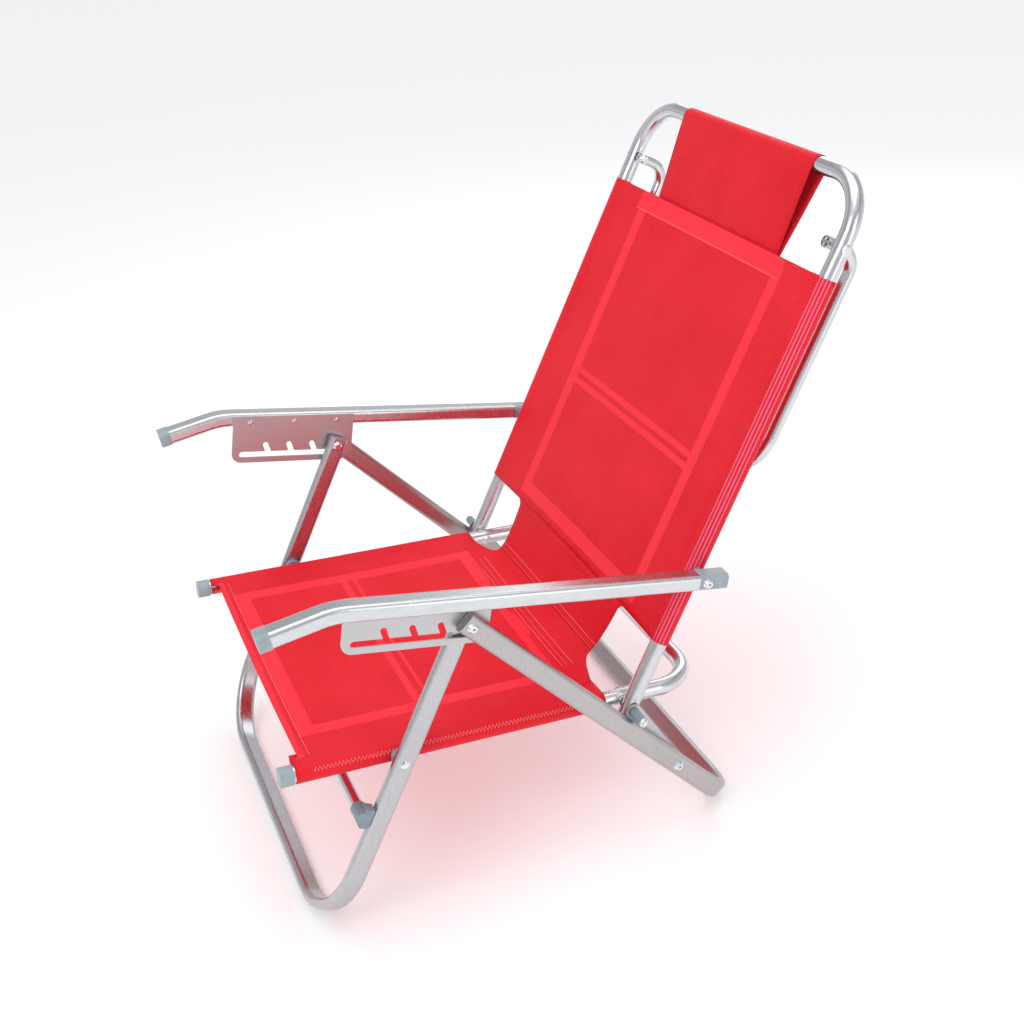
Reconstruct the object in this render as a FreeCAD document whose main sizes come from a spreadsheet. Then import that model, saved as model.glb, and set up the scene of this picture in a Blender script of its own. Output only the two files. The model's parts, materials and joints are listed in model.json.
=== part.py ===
import FreeCAD, Part
import math
import os
import Sketcher

# Low reclining beach chair: two crossed U legs, a U seat tube and a U back tube,
# two notched armrests, a fabric sling and a carrying bail behind the back.
# X is across the chair (the sitter's left is +X), Y points to the rear, Z is up.
# The origin is on the floor, under the middle of the chair's box.

V = FreeCAD.Vector
doc = FreeCAD.newDocument("BeachChair")
sheet = doc.addObject("Spreadsheet::Sheet", "Sizes")

SIZES = [
    # side view of the linkage
    ("pivot_depth", 43.98, "Y of the seat and back pivot"),
    ("bolt_height", 410.0, "Z of the bolt that joins the leg tops"),
    ("lean", 60.5, "front leg and upright back, degrees above level"),
    ("rear_lean", 49.8, "rear leg, degrees above level"),
    ("seat_slope", 6.0, "seat falls to the rear, degrees"),
    ("arm_slope", 13.0, "armrest falls to the rear, degrees"),
    ("seat_link", 305.0, "front leg rivet to back pivot"),
    ("side_link", 201.0, "top bolt to seat rivet, and back pivot to armrest bolt"),
    ("tie_reach", 398.5, "top bolt to the tie bar's rivet along the rear leg"),
    # distances across the chair, from the middle plane
    ("seat_half", 241.0, "seat tube axis"),
    ("back_half", 265.7, "back tube axis"),
    ("front_half", 268.0, "front leg axis"),
    ("plate_inner", 278.2, "inner face of the notched plate and the tie bar"),
    ("rear_half", 288.3, "rear leg axis"),
    ("arm_half", 293.5, "armrest axis"),
    ("bail_half", 243.4, "bail axis"),
    # round tube of the seat and back
    ("tube_radius", 11.1, "7/8 inch tube"),
    ("tube_wall", 1.2, "wall of every tube"),
    ("seat_front", 448.0, "pivot to the seat tube's front ends"),
    ("seat_rear", 113.0, "pivot to the seat tube's rear bar"),
    ("seat_corner", 58.0, "bend radius of the seat tube"),
    ("back_tail", 14.0, "back tube below its pivot"),
    ("back_length", 711.0, "pivot to the top bar"),
    ("back_corner", 66.0, "bend radius of the back tube"),
    # flat oval tube of the legs
    ("leg_wide", 28.0, "leg section, fore and aft"),
    ("leg_thick", 14.0, "leg section, across"),
    ("front_corner", 95.0, "front leg's bend radius at the floor"),
    ("rear_corner", 58.0, "rear leg's bend radius at the floor"),
    ("leg_top", 8.5, "leg above the top bolt"),
    # armrest
    ("arm_wide", 25.0, "armrest section, across"),
    ("arm_deep", 21.0, "armrest section, height"),
    ("arm_round", 6.0, "armrest section corners"),
    ("arm_start", 12.0, "armrest bolt to the metal's rear end"),
    ("clip_tail", 28.0, "armrest bolt to the rear end of its clip"),
    ("arm_bend_at", 456.0, "armrest bolt to the start of the front bend"),
    ("arm_bend_radius", 95.0, "front bend"),
    ("arm_droop", 19.0, "front bend, degrees"),
    ("arm_nose", 69.5, "straight end in front of the bend"),
    ("cap_length", 15.0, "front cap"),
    ("cap_skin", 0.9, "front cap wall"),
    # notched plate
    ("plate_thick", 2.5, "plate sheet"),
    ("plate_front", 455.0, "armrest bolt to the plate's front edge"),
    ("plate_back", 276.0, "armrest bolt to the plate's rear edge"),
    ("plate_top", 7.0, "plate above the armrest axis"),
    ("plate_foot", 64.5, "plate below the armrest axis"),
    ("plate_round", 14.0, "lower front corner"),
    ("channel_low", 52.0, "middle of the slot below the armrest axis"),
    ("channel_radius", 4.4, "half the slot's height"),
    ("channel_front", 440.0, "armrest bolt to the slot's front end"),
    ("notch_pitch", 34.5, "distance from notch to notch"),
    ("notch_radius", 3.9, "half the notch's width"),
    ("notch_rake", 6.0, "notch foot behind its top"),
    # fasteners and small plastic parts
    ("bolt_radius", 3.5, "bolts and rivets"),
    ("bolt_play", 0.08, "hole clearance on the radius"),
    ("head_radius", 7.0, "bolt and rivet heads"),
    ("head_height", 3.2, "bolt and rivet heads"),
    ("low_head", 0.75, "outer heads that the folding armrests pass"),
    ("eyelet_radius", 12.6, "opening in the sleeves around bolts and spacers"),
    ("sleeve_radius", 6.5, "sleeve on the pivot bolt"),
    ("sleeve_end", 305.0, "outer end of the sleeve"),
    ("tie_wide", 21.0, "tie bar width"),
    ("tie_thick", 2.7, "tie bar thickness"),
    ("saddle_radius", 11.0, "spacer between seat tube and front leg"),
    ("brace_radius", 7.8, "cross tube between the front legs"),
    ("brace_down", 281.0, "top bolt to the cross tube along the leg"),
    ("brace_ahead", 24.7, "cross tube in front of the leg's axis"),
    ("brace_half", 258.0, "half the cross tube's length"),
    ("clip_start", 251.0, "inner end of the brace clip"),
    ("clip_end", 276.5, "outer end of the brace clip"),
    ("clip_skin", 1.8, "wall of the brace clip around the tube"),
    ("clip_foot", 12.0, "brace clip's foot, fore and aft"),
    ("clip_height", 26.0, "brace clip's foot along the leg"),
    # bail
    ("bail_radius", 7.8, "bail tube"),
    ("bail_up", 631.0, "back pivot to the bail's bolts"),
    ("bail_back", 44.0, "bail behind the back frame"),
    ("bail_drop", 300.0, "bail bolt to the bail's cross bar"),
    ("bail_bend", 26.0, "bends beside the bolts"),
    ("bail_corner", 55.0, "lower corners"),
    # sling
    ("cloth", 0.5, "fabric wrapped on a tube"),
    ("cloth_gap", 0.25, "fabric clear of the tube"),
    ("panel_thick", 2.0, "fabric panel solid"),
    ("seat_cloth_front", 432.0, "pivot to the seat fabric's front edge"),
    ("seat_cloth_rear", 26.0, "pivot to the seat fabric's sleeve end"),
    ("back_cloth_low", 96.0, "pivot to the back fabric's sleeve end"),
    ("back_panel_low", 112.0, "pivot to the full width of the back panel"),
    ("back_cloth_high", 592.0, "pivot to the back fabric's top edge"),
    ("waist_half", 205.0, "half the narrow middle of the sling"),
    ("head_half", 162.0, "half the headrest strip"),
    ("head_half_low", 155.0, "half the headrest strip at its foot"),
]


def fill_sheet(rows):
    for row, (alias, value, note) in enumerate(rows, start=1):
        sheet.set(f"A{row}", alias)
        sheet.set(f"B{row}", str(value))
        sheet.set(f"C{row}", note)
        sheet.setAlias(f"B{row}", alias)
    doc.recompute()


fill_sheet(SIZES)


def size(alias):
    return float(sheet.get(alias))


def cell(alias):
    return f"Sizes.{alias}"


def heading(degrees):
    """Unit vector in the side plane, degrees above +Y."""
    a = math.radians(degrees)
    return V(0, math.cos(a), math.sin(a))


def at_x(point, x):
    return V(x, point.y, point.z)


# Pin positions of the linkage in the side plane
UP_BACK = heading(size("lean"))
TO_FRONT = heading(180 - size("seat_slope"))
DOWN_REAR = heading(-size("rear_lean"))
AHEAD_OF_BACK = heading(size("lean") + 90)
TOP_BOLT_OVER_PIVOT = TO_FRONT * size("seat_link") + UP_BACK * size("side_link")
BACK_PIVOT = V(0, size("pivot_depth"), size("bolt_height") - TOP_BOLT_OVER_PIVOT.z)
SEAT_RIVET = BACK_PIVOT + TO_FRONT * size("seat_link")
TOP_BOLT = BACK_PIVOT + TOP_BOLT_OVER_PIVOT
ARM_BOLT = BACK_PIVOT + UP_BACK * size("side_link")
BAIL_BOLT = BACK_PIVOT + UP_BACK * size("bail_up")
TIE_RIVET = TOP_BOLT + DOWN_REAR * size("tie_reach")


def leg_reach(lean):
    """Length from the top bolt to the floor bar's axis, so that the bar just stands on the floor."""
    flat = (size("leg_wide") - size("leg_thick")) / 2
    rise = size("leg_thick") / 2 + flat * math.cos(math.radians(lean))
    return (size("bolt_height") - rise) / math.sin(math.radians(lean))


def add_derived(names_and_values):
    """Lengths that follow from the linkage, kept in the sheet below the driving sizes."""
    row = len(SIZES) + 2
    for alias, value in names_and_values:
        sheet.set(f"A{row}", alias)
        sheet.set(f"B{row}", str(round(value, 4)))
        sheet.setAlias(f"B{row}", alias)
        row += 1
    doc.recompute()


add_derived(
    [
        ("front_leg_length", leg_reach(size("lean"))),
        ("rear_leg_length", leg_reach(size("rear_lean"))),
        ("tie_length", (TIE_RIVET - BACK_PIVOT).Length),
    ]
)


# ---------------------------------------------------------------- sketch helpers


def new_body(label):
    body = doc.addObject("PartDesign::Body", label)
    body.Label = label
    return body


def new_sketch(body, name, plane):
    sketch = body.newObject("Sketcher::SketchObject", f"{body.Name}_{name}")
    origin = [f for f in body.Origin.OriginFeatures if f.Role == plane][0]
    sketch.AttachmentSupport = [(origin, "")]
    sketch.MapMode = "FlatFace"
    return sketch


def rule(sketch, kind, *args):
    return sketch.addConstraint(Sketcher.Constraint(kind, *args))


def driven(sketch, expression, kind, *args):
    """A dimension of the sketch, bound to an expression on the sheet."""
    index = rule(sketch, kind, *args)
    sketch.setExpression(f"Constraints[{index}]", expression)


def pin_point(sketch, geometry, end, x, y, x_cell, y_cell):
    """Place a sketch point at signed coordinates from the sketch's origin."""
    for kind, value, expression in (("DistanceX", x, x_cell), ("DistanceY", y, y_cell)):
        if abs(value) < 1e-9:
            axis = -2 if kind == "DistanceX" else -1
            rule(sketch, "PointOnObject", geometry, end, axis)
        else:
            driven(sketch, expression, kind, -1, 1, geometry, end, value)


def circle(sketch, x, y, radius, x_cell, y_cell, radius_cell):
    g = sketch.addGeometry(Part.Circle(V(x, y, 0), V(0, 0, 1), radius))
    pin_point(sketch, g, 3, x, y, x_cell, y_cell)
    driven(sketch, radius_cell, "Radius", g, radius)


def slot(sketch, start, end, radius, start_cells, end_cells, radius_cell):
    """A stadium outline between two centres."""
    p = V(start[0], start[1], 0)
    q = V(end[0], end[1], 0)
    turn = math.atan2(q.y - p.y, q.x - p.x)
    side = V(-math.sin(turn), math.cos(turn), 0) * radius
    quarter = math.pi / 2
    z = V(0, 0, 1)
    far = Part.ArcOfCircle(Part.Circle(q, z, radius), turn - quarter, turn + quarter)
    near = Part.ArcOfCircle(Part.Circle(p, z, radius), turn + quarter, turn + 3 * quarter)
    g = sketch.addGeometry(far)
    sketch.addGeometry(Part.LineSegment(q + side, p + side))
    sketch.addGeometry(near)
    sketch.addGeometry(Part.LineSegment(p - side, q - side))
    for a, b in ((g, g + 1), (g + 1, g + 2), (g + 2, g + 3), (g + 3, g)):
        rule(sketch, "Tangent", a, 2, b, 1)
    pin_point(sketch, g, 3, q.x, q.y, *end_cells)
    pin_point(sketch, g + 2, 3, p.x, p.y, *start_cells)
    driven(sketch, radius_cell, "Radius", g, radius)


def rounded_box(sketch, wide, deep, radius, wide_cell, deep_cell, radius_cell):
    """A rectangle with round corners, centred on the sketch's origin."""
    w = wide / 2 - radius
    d = deep / 2 - radius
    z = V(0, 0, 1)
    centres = [V(w, d, 0), V(-w, d, 0), V(-w, -d, 0), V(w, -d, 0)]
    first = None
    for i, centre in enumerate(centres):
        start = i * math.pi / 2
        ring = Part.Circle(centre, z, radius)
        g = sketch.addGeometry(Part.ArcOfCircle(ring, start, start + math.pi / 2))
        first = g if first is None else first
        out = V(math.cos(start + math.pi / 2), math.sin(start + math.pi / 2), 0) * radius
        following = centres[(i + 1) % 4]
        sketch.addGeometry(Part.LineSegment(centre + out, following + out))
    for i in range(8):
        rule(sketch, "Tangent", first + i, 2, first + (i + 1) % 8, 1)
    for i in (1, 5):
        rule(sketch, "Horizontal", first + i)
    for i in (3,):
        rule(sketch, "Vertical", first + i)
    for i in (2, 4, 6):
        rule(sketch, "Equal", first, first + i)
    driven(sketch, radius_cell, "Radius", first, radius)
    w_cell = f"{wide_cell} / 2 - {radius_cell}"
    d_cell = f"{deep_cell} / 2 - {radius_cell}"
    pin_point(sketch, first, 3, w, d, w_cell, d_cell)
    driven(sketch, f"-({w_cell})", "DistanceX", -1, 1, first + 4, 3, -w)
    driven(sketch, f"-({d_cell})", "DistanceY", -1, 1, first + 4, 3, -d)


def pad(body, name, sketch, length_cell, middle=False, back=False):
    feature = body.newObject("PartDesign::Pad", f"{body.Name}_{name}")
    feature.Profile = sketch
    feature.setExpression("Length", length_cell)
    feature.SideType = "Symmetric" if middle else "One side"
    feature.Reversed = back
    sketch.Visibility = False
    return feature


def pocket(body, name, sketch, length_cell=None, back=False):
    feature = body.newObject("PartDesign::Pocket", f"{body.Name}_{name}")
    feature.Profile = sketch
    feature.Reversed = back
    if length_cell is None:
        feature.SideType = "Symmetric"
        feature.setExpression("Length", "2000")
    else:
        feature.setExpression("Length", length_cell)
    return feature


def sweep(body, name, profile, path, edges):
    feature = body.newObject("PartDesign::AdditivePipe", f"{body.Name}_{name}")
    feature.Profile = profile
    feature.Spine = (path, [f"Edge{i + 1}" for i in range(edges)])
    return feature


def cross_hole(body, name, along, along_cell, radius_cell, radius):
    """A hole right across the body at a distance along its local Y axis."""
    sketch = new_sketch(body, name, "YZ_Plane")
    circle(sketch, along, 0, radius, along_cell, "0", radius_cell)
    pocket(body, f"{name}_cut", sketch)


HOLE = f"{cell('bolt_radius')} + {cell('bolt_play')}"
HOLE_RADIUS = size("bolt_radius") + size("bolt_play")


def u_path(body, half, length, corner, half_cell, length_cell, corner_cell):
    """An open U: up one side, round two corners and down the other side."""
    sketch = new_sketch(body, "path", "XY_Plane")
    z = V(0, 0, 1)
    left = Part.Circle(V(corner - half, length - corner, 0), z, corner)
    right = Part.Circle(V(half - corner, length - corner, 0), z, corner)
    shapes = [
        Part.LineSegment(V(-half, 0, 0), V(-half, length - corner, 0)),
        Part.ArcOfCircle(left, math.pi / 2, math.pi),
        Part.LineSegment(V(corner - half, length, 0), V(half - corner, length, 0)),
        Part.ArcOfCircle(right, 0, math.pi / 2),
        Part.LineSegment(V(half, length - corner, 0), V(half, 0, 0)),
    ]
    for shape in shapes:
        sketch.addGeometry(shape)
    for a, a_end, b, b_end in ((0, 2, 1, 2), (1, 1, 2, 1), (2, 2, 3, 2), (3, 1, 4, 1)):
        rule(sketch, "Tangent", a, a_end, b, b_end)
    rule(sketch, "Vertical", 0)
    rule(sketch, "Horizontal", 2)
    rule(sketch, "Vertical", 4)
    rule(sketch, "Equal", 1, 3)
    driven(sketch, corner_cell, "Radius", 1, corner)
    pin_point(sketch, 0, 1, -half, 0, f"-{half_cell}", "0")
    pin_point(sketch, 4, 2, half, 0, half_cell, "0")
    driven(sketch, length_cell, "DistanceY", -1, 1, 2, 1, length)
    return sketch


def round_u(label, half_alias, length, corner, length_cell, corner_cell):
    """A U of hollow round tube in its own XY plane."""
    body = new_body(label)
    half = size(half_alias)
    path = u_path(body, half, length, corner, cell(half_alias), length_cell, corner_cell)
    profile = new_sketch(body, "section", "XZ_Plane")
    inner = f"{cell('tube_radius')} - {cell('tube_wall')}"
    for radius, radius_cell in (
        (size("tube_radius"), cell("tube_radius")),
        (size("tube_radius") - size("tube_wall"), inner),
    ):
        circle(profile, -half, 0, radius, f"-{cell(half_alias)}", "0", radius_cell)
    sweep(body, "tube", profile, path, 5)
    return body


def oval_u(label, half_alias, length_alias, corner_alias):
    """A U of hollow flat oval tube; its wide faces look across the chair."""
    body = new_body(label)
    half = size(half_alias)
    length = size(length_alias) + size("leg_top")
    length_cell = f"{cell(length_alias)} + {cell('leg_top')}"
    half_cell = cell(half_alias)
    corner_cell = cell(corner_alias)
    path = u_path(body, half, length, size(corner_alias), half_cell, length_cell, corner_cell)
    profile = new_sketch(body, "section", "XZ_Plane")
    flat = (size("leg_wide") - size("leg_thick")) / 2
    flat_cell = f"({cell('leg_wide')} - {cell('leg_thick')}) / 2"
    skin = size("leg_thick") / 2
    skin_cell = f"{cell('leg_thick')} / 2"
    low = (f"-{half_cell}", f"-{flat_cell}")
    high = (f"-{half_cell}", flat_cell)
    slot(profile, (-half, -flat), (-half, flat), skin, low, high, skin_cell)
    bore = skin - size("tube_wall")
    bore_cell = f"{skin_cell} - {cell('tube_wall')}"
    slot(profile, (-half, -flat), (-half, flat), bore, low, high, bore_cell)
    sweep(body, "tube", profile, path, 5)
    return body


def lay(obj, point, degrees):
    """Turn local Y to a heading in the side plane and move the local origin to a point."""
    obj.Placement = FreeCAD.Placement(point, FreeCAD.Rotation(V(1, 0, 0), degrees))


# ---------------------------------------------------------------- primitive helpers


def across(name, point, start, length_cell, radius_cell, side=1):
    """A cylinder across the chair, from |x| = start outwards on one side."""
    rod = doc.addObject("Part::Cylinder", name)
    rod.setExpression("Radius", radius_cell)
    rod.setExpression("Height", length_cell)
    turn = FreeCAD.Rotation(V(0, 1, 0), 90 * side)
    rod.Placement = FreeCAD.Placement(at_x(point, side * start), turn)
    return rod


def dome(name, point, start, height_cell, radius_cell, side, outward):
    """A low conical head across the chair, growing away from |x| = start."""
    head = doc.addObject("Part::Cone", name)
    head.setExpression("Radius1", radius_cell)
    head.setExpression("Radius2", f"({radius_cell}) * 0.62")
    head.setExpression("Height", height_cell)
    turn = FreeCAD.Rotation(V(0, 1, 0), 90 * side * outward)
    head.Placement = FreeCAD.Placement(at_x(point, side * start), turn)
    return head


def fuse(name, shapes):
    joined = doc.addObject("Part::MultiFuse", name)
    joined.Shapes = shapes
    joined.Refine = True
    return joined


def cut(name, base, tool):
    result = doc.addObject("Part::Cut", name)
    result.Base = base
    result.Tool = tool
    return result


def group(name, objects):
    """Separate identical solids kept in one node."""
    compound = doc.addObject("Part::Compound", name)
    compound.Links = objects
    return compound


def ring(name, point, start, length_cell, outer_cell, side, inner_cell=HOLE):
    outer = across(f"{name}_outer", point, start, length_cell, outer_cell, side)
    bore = across(f"{name}_bore", point, start, length_cell, inner_cell, side)
    return cut(name, outer, bore)


def headed_pin(name, point, start, end, side, outward, end_head=False, height="head_height"):
    """A pin from |x| = start to |x| = end with its head at the inner or outer end."""
    shank = across(f"{name}_shank", point, start, f"{end - start}", cell("bolt_radius"), side)
    head_at = end if outward > 0 else start
    wide = cell("head_radius")
    pieces = [shank, dome(f"{name}_head", point, head_at, cell(height), wide, side, outward)]
    if end_head:
        tail_at = start if outward > 0 else end
        pieces.append(dome(f"{name}_tail", point, tail_at, cell("head_height"), wide, side, -outward))
    return fuse(name, pieces)


SIDES = (("left", 1), ("right", -1))
NODES = []


def keep(obj, label):
    obj.Label = label
    NODES.append(obj)


# ---------------------------------------------------------------- metal frame


def make_legs():
    for label, half, length, corner, degrees in (
        ("front_leg", "front_half", "front_leg_length", "front_corner", size("lean") + 180),
        ("rear_leg", "rear_half", "rear_leg_length", "rear_corner", -size("rear_lean")),
    ):
        body = oval_u(label, half, length, corner)
        cross_hole(body, "bolt", size("leg_top"), cell("leg_top"), HOLE, HOLE_RADIUS)
        reach = "side_link" if label == "front_leg" else "tie_reach"
        along = size(reach) + size("leg_top")
        along_cell = f"{cell(reach)} + {cell('leg_top')}"
        cross_hole(body, "rivet", along, along_cell, HOLE, HOLE_RADIUS)
        lay(body, TOP_BOLT - heading(degrees) * size("leg_top"), degrees)
        keep(body, label)


def make_seat_tube():
    length_cell = f"{cell('seat_front')} + {cell('seat_rear')}"
    length = size("seat_front") + size("seat_rear")
    corner = size("seat_corner")
    body = round_u("seat_tube", "seat_half", length, corner, length_cell, cell("seat_corner"))
    holes = (
        ("pivot", size("seat_front"), cell("seat_front")),
        ("rivet", size("seat_front") - size("seat_link"), f"{cell('seat_front')} - {cell('seat_link')}"),
    )
    for name, along, along_cell in holes:
        cross_hole(body, name, along, along_cell, HOLE, HOLE_RADIUS)
    lay(body, BACK_PIVOT + TO_FRONT * size("seat_front"), -size("seat_slope"))
    keep(body, "seat_tube")


def make_back_tube():
    length_cell = f"{cell('back_length')} + {cell('back_tail')}"
    length = size("back_length") + size("back_tail")
    corner = size("back_corner")
    body = round_u("back_tube", "back_half", length, corner, length_cell, cell("back_corner"))
    for name, alias in (("pivot", None), ("arm", "side_link"), ("bail", "bail_up")):
        along = size("back_tail") + (size(alias) if alias else 0)
        along_cell = cell("back_tail") + (f" + {cell(alias)}" if alias else "")
        cross_hole(body, name, along, along_cell, HOLE, HOLE_RADIUS)
    lay(body, BACK_PIVOT - UP_BACK * size("back_tail"), size("lean"))
    keep(body, "back_tube")


def make_brace():
    """Round cross tube in front of the front legs, held by a plastic clip on each leg."""
    down_leg = UP_BACK * -1
    centre = TOP_BOLT + down_leg * size("brace_down") + AHEAD_OF_BACK * size("brace_ahead")
    length = f"2 * {cell('brace_half')}"
    bore = f"{cell('brace_radius')} - {cell('tube_wall')}"
    tube = ring("front_brace", centre, -size("brace_half"), length, cell("brace_radius"), 1, bore)
    keep(tube, "front_brace")
    leg_face = size("leg_thick") / 2 + 1
    foot_corner = centre - AHEAD_OF_BACK * (size("brace_ahead") - size("leg_wide") / 2 - 0.1)
    foot_corner = foot_corner - UP_BACK * (size("clip_height") / 2) + AHEAD_OF_BACK * size("clip_foot")
    socket_length = f"{cell('clip_end')} - {cell('clip_start')}"
    socket_radius = f"{cell('brace_radius')} + {cell('clip_skin')}"
    hole_start = size("clip_start") - 1
    hole_length = f"{cell('brace_half')} - {cell('clip_start')} + 1.1"
    hole_radius = f"{cell('brace_radius')} + 0.02"
    # local Z runs up the leg and local Y runs back from the front face
    turn = FreeCAD.Rotation(V(1, 0, 0), size("lean") - 90)
    for side_name, side in SIDES:
        name = f"brace_clip_{side_name}"
        socket = across(f"{name}_barrel", centre, size("clip_start"), socket_length, socket_radius, side)
        foot = doc.addObject("Part::Box", f"{name}_foot")
        foot.setExpression("Length", f"{cell('leg_thick')} + 2")
        foot.setExpression("Width", cell("clip_foot"))
        foot.setExpression("Height", cell("clip_height"))
        foot.Placement = FreeCAD.Placement(at_x(foot_corner, side * size("front_half") - leg_face), turn)
        hole = across(f"{name}_hole", centre, hole_start, hole_length, hole_radius, side)
        keep(cut(name, fuse(f"{name}_solid", [socket, foot]), hole), name)


def bent_wire(points, radii):
    """A wire of straight runs joined by tangent arcs, one radius per inner point."""
    edges = []
    here = points[0]
    for before, corner, after, radius in zip(points, points[1:], points[2:], radii):
        a = (before - corner).normalize()
        b = (after - corner).normalize()
        half = a.getAngle(b) / 2
        run = radius / math.tan(half)
        centre = corner + (a + b).normalize() * (radius / math.sin(half))
        middle = centre + (corner - centre).normalize() * radius
        start = corner + a * run
        end = corner + b * run
        edges.append(Part.LineSegment(here, start).toShape())
        edges.append(Part.Arc(start, middle, end).toShape())
        here = end
    edges.append(Part.LineSegment(here, points[-1]).toShape())
    return Part.Wire(edges)


def make_bail():
    """Carrying bail: out behind the back, then down, then across. Its bends lie in two planes."""
    half = size("bail_half")
    behind = AHEAD_OF_BACK * -1
    start = BAIL_BOLT - behind * 9
    knee = BAIL_BOLT + behind * size("bail_back")
    foot = knee - UP_BACK * size("bail_drop")
    points = [at_x(p, half) for p in (start, knee, foot)]
    points += [at_x(p, -half) for p in (foot, knee, start)]
    bends = [size("bail_bend"), size("bail_corner"), size("bail_corner"), size("bail_bend")]
    path = bent_wire(points, bends)
    skin = Part.Wire([Part.Circle(points[0], behind, size("bail_radius")).toShape()])
    bore = size("bail_radius") - size("tube_wall")
    core = Part.Wire([Part.Circle(points[0], behind, bore).toShape()])
    tube = path.makePipeShell([skin], True, True).cut(path.makePipeShell([core], True, True))
    reach = 2 * half + 60
    hole = Part.makeCylinder(HOLE_RADIUS, reach, at_x(BAIL_BOLT, -reach / 2), V(1, 0, 0))
    bail = doc.addObject("Part::Feature", "bail_tube")
    bail.Shape = tube.cut(hole)
    keep(bail, "bail_tube")


# ---------------------------------------------------------------- armrests


def arm_frame(obj, along=0.0, up=0.0, side=1, extra=0.0):
    """Place an object by a point in the armrest's frame: along is towards the front."""
    slope = -size("arm_slope")
    point = ARM_BOLT - heading(slope) * along + heading(slope + 90) * up
    lay(obj, at_x(point, side * size("arm_half")), slope + extra)


def make_arm_tube(label, side):
    body = new_body(label)
    path = new_sketch(body, "path", "YZ_Plane")
    run = size("arm_bend_at") - size("arm_start")
    bend = size("arm_bend_radius")
    droop = math.radians(size("arm_droop"))
    centre = V(-run, -bend, 0)
    curve = Part.ArcOfCircle(Part.Circle(centre, V(0, 0, 1), bend), math.pi / 2, math.pi / 2 + droop)
    tip = centre + V(-math.sin(droop), math.cos(droop), 0) * bend
    nose = tip + V(-math.cos(droop), -math.sin(droop), 0) * size("arm_nose")
    path.addGeometry(Part.LineSegment(V(0, 0, 0), V(-run, 0, 0)))
    path.addGeometry(curve)
    path.addGeometry(Part.LineSegment(tip, nose))
    rule(path, "Coincident", 0, 1, -1, 1)
    rule(path, "Horizontal", 0)
    rule(path, "Tangent", 0, 2, 1, 1)
    rule(path, "Tangent", 1, 2, 2, 1)
    run_cell = f"{cell('arm_bend_at')} - {cell('arm_start')}"
    driven(path, f"-({run_cell})", "DistanceX", -1, 1, 0, 2, -run)
    driven(path, cell("arm_bend_radius"), "Radius", 1, bend)
    driven(path, cell("arm_nose"), "Distance", 2, size("arm_nose"))
    driven(path, f"{cell('arm_droop')} * 1 deg", "Angle", 0, 1, 2, 1, droop)
    section = new_sketch(body, "section", "XZ_Plane")
    wide, deep, corner = size("arm_wide"), size("arm_deep"), size("arm_round")
    names = (cell("arm_wide"), cell("arm_deep"), cell("arm_round"))
    rounded_box(section, wide, deep, corner, *names)
    wall = size("tube_wall")
    inner = [f"({names[0]} - 2 * {cell('tube_wall')})", f"({names[1]} - 2 * {cell('tube_wall')})"]
    inner.append(f"({names[2]} - {cell('tube_wall')})")
    rounded_box(section, wide - 2 * wall, deep - 2 * wall, corner - wall, *inner)
    sweep(body, "tube", section, path, 3)
    arm_frame(body, along=size("arm_start"), side=side)
    keep(body, label)
    return tip, nose


def make_front_cap(label, side, nose):
    """Plastic cap drawn over the armrest's front end."""
    body = new_body(label)
    outer = new_sketch(body, "outer", "XZ_Plane")
    skin = cell("cap_skin")
    grow = 2 * size("cap_skin")
    wide, deep, corner = size("arm_wide"), size("arm_deep"), size("arm_round")
    cells = (f"({cell('arm_wide')} + 2 * {skin})", f"({cell('arm_deep')} + 2 * {skin})")
    round_cell = f"({cell('arm_round')} + {skin})"
    rounded_box(outer, wide + grow, deep + grow, corner + grow / 2, *cells, round_cell)
    pad(body, "shell", outer, cell("cap_length"))
    inner = new_sketch(body, "inner", "XZ_Plane")
    play = 0.06
    cells = (f"({cell('arm_wide')} + 0.12)", f"({cell('arm_deep')} + 0.12)")
    round_cell = f"({cell('arm_round')} + 0.06)"
    rounded_box(inner, wide + 2 * play, deep + 2 * play, corner + play, *cells, round_cell)
    pocket(body, "seat", inner, f"{cell('cap_length')} - 3", back=True)
    # the pad grows towards local -Y, which is the armrest's front
    back_off = size("cap_length") - 3
    local = V(0, nose.x - size("arm_start"), nose.y)
    slope = -size("arm_slope")
    end = ARM_BOLT + heading(slope) * local.y + heading(slope + 90) * local.z
    end = end + heading(slope + size("arm_droop")) * back_off
    lay(body, at_x(end, side * size("arm_half")), slope + size("arm_droop"))
    keep(body, label)


def make_rear_clip(label, side):
    """Plastic end of the armrest that takes the bolt, with a tongue inside the metal."""
    body = new_body(label)
    outer = new_sketch(body, "outer", "XZ_Plane")
    names = (cell("arm_wide"), cell("arm_deep"), cell("arm_round"))
    rounded_box(outer, size("arm_wide"), size("arm_deep"), size("arm_round"), *names)
    pad(body, "block", outer, f"{cell('arm_start')} - 0.1")
    tail = new_sketch(body, "tail", "XZ_Plane")
    rounded_box(tail, size("arm_wide"), size("arm_deep"), size("arm_round"), *names)
    pad(body, "tail_block", tail, cell("clip_tail"), back=True)
    tongue = new_sketch(body, "tongue", "XZ_Plane")
    less = 2 * size("tube_wall") + 0.3
    less_cell = f"2 * {cell('tube_wall')} - 0.3"
    cells = [f"({name} - {less_cell})" for name in names[:2]]
    sizes = (size("arm_wide") - less, size("arm_deep") - less, size("arm_round") - less / 2)
    rounded_box(tongue, *sizes, *cells, f"({names[2]} - {cell('tube_wall')} - 0.15)")
    pad(body, "tongue_block", tongue, f"{cell('arm_start')} + 18")
    cross_hole(body, "bolt", 0, "0", HOLE, HOLE_RADIUS)
    arm_frame(body, side=side)
    keep(body, label)


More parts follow.
